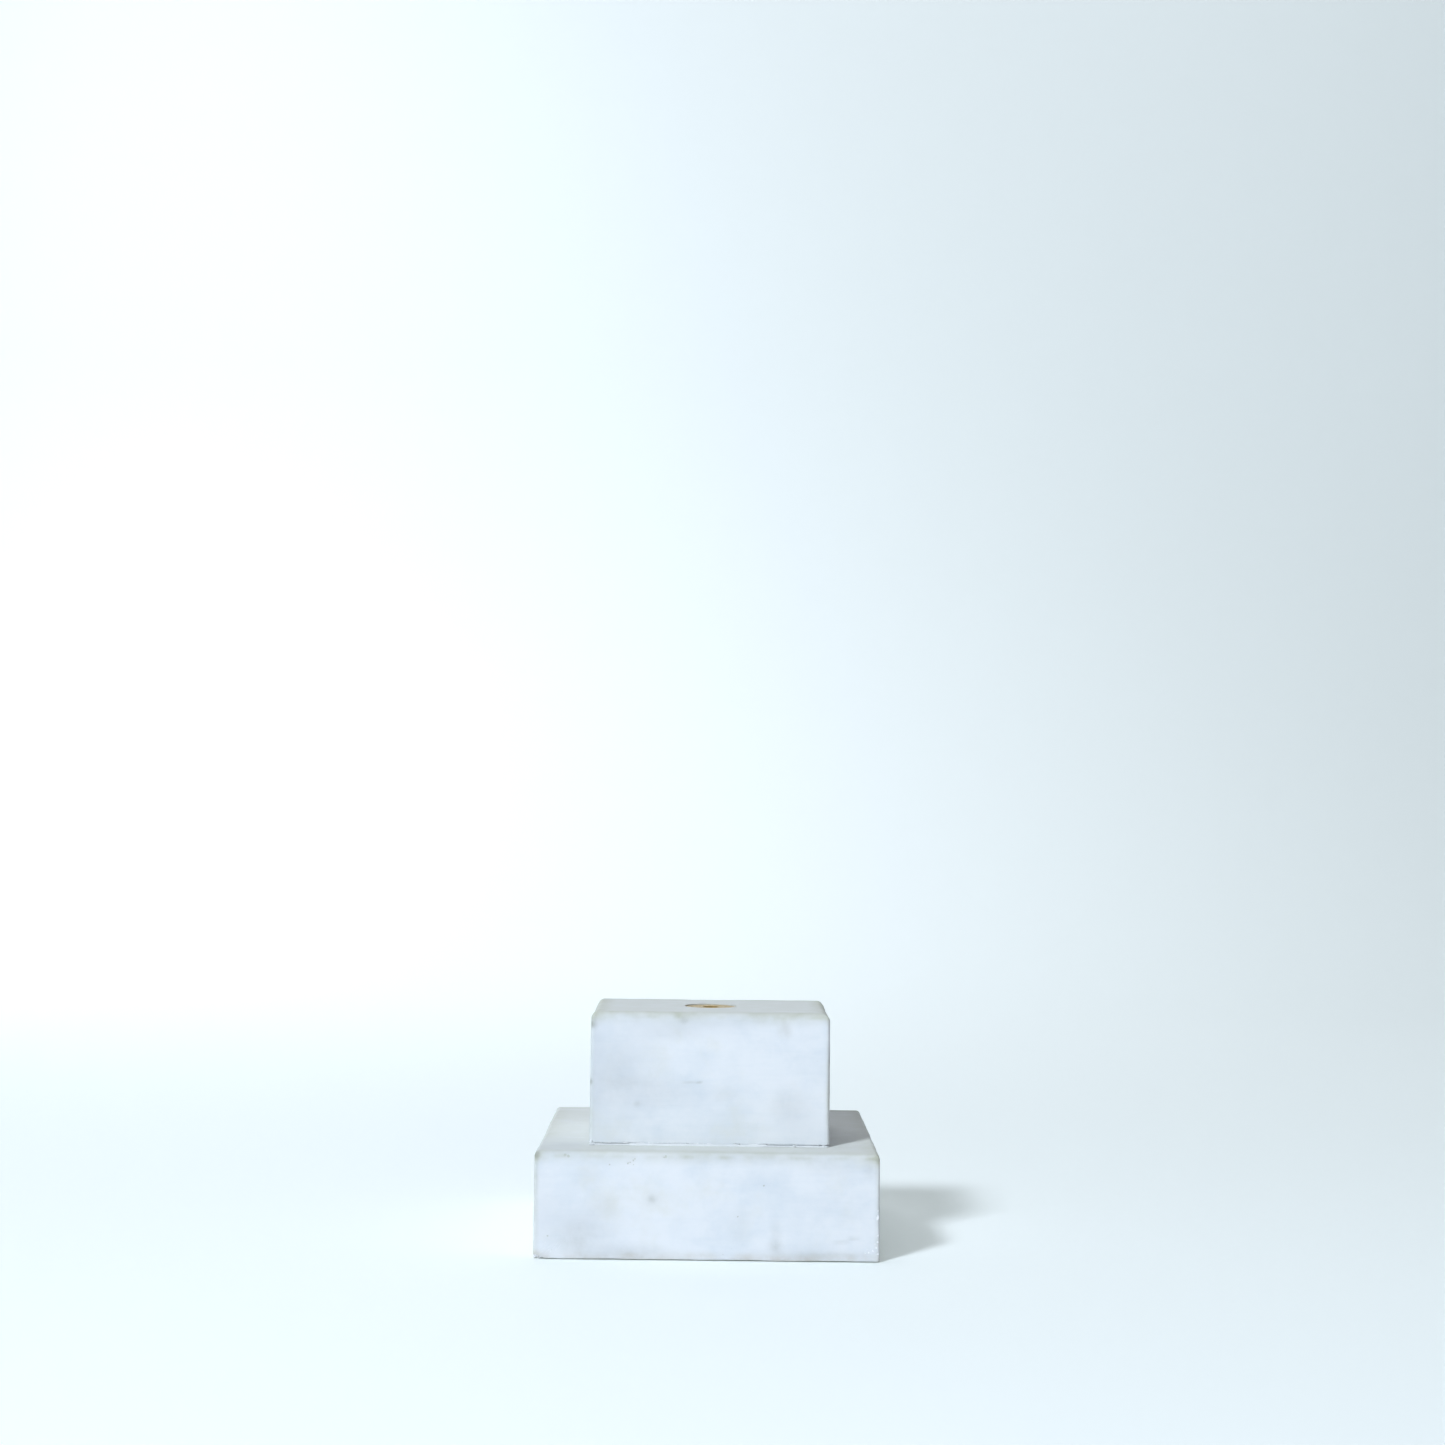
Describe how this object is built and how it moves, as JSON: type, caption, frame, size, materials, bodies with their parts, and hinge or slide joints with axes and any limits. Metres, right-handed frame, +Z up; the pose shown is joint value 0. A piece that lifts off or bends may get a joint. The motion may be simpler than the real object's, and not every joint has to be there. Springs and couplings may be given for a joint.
{
  "type": "display plinth",
  "caption": "Two-tier cast plaster display plinth: a square lower tier and a narrower upper tier, hollow, clamped by a central tie rod, with a threaded socket in its top for the exhibit",
  "frame": {"origin": "centre of the footprint, on the surface that the pads stand on", "axes": "+Z up, the front faces -Y, +X to the right seen from the front"},
  "size_m": [0.17, 0.17, 0.1192],
  "materials": {
    "cast_plaster": "matte",
    "bedding_plaster": "matte",
    "wad_plaster": "matte",
    "scrim": "matte",
    "softwood": "matte",
    "dowel_wood": "matte",
    "brass": "satin",
    "zinc_steel": "satin",
    "felt": "matte"
  },
  "bodies": {
    "root": {"lower_tier": "cast_plaster", "upper_tier": "cast_plaster", "joint_bed": "bedding_plaster", "lower_scrim": "scrim", "upper_scrim": "scrim", "rim_lath_front": "softwood", "rim_lath_back": "softwood", "rim_lath_left": "softwood", "rim_lath_right": "softwood", "rim_lath_wads": "wad_plaster", "lower_batten": "softwood", "lower_batten_wads": "wad_plaster", "upper_batten": "softwood", "upper_batten_wads": "wad_plaster", "top_socket": "brass", "tie_rod": "zinc_steel", "plate_washer": "zinc_steel", "clamp_nut": "zinc_steel", "lock_nut": "zinc_steel", "dowel_left": "dowel_wood", "dowel_right": "dowel_wood", "base_pads": "felt"}
  },
  "joints": []
}
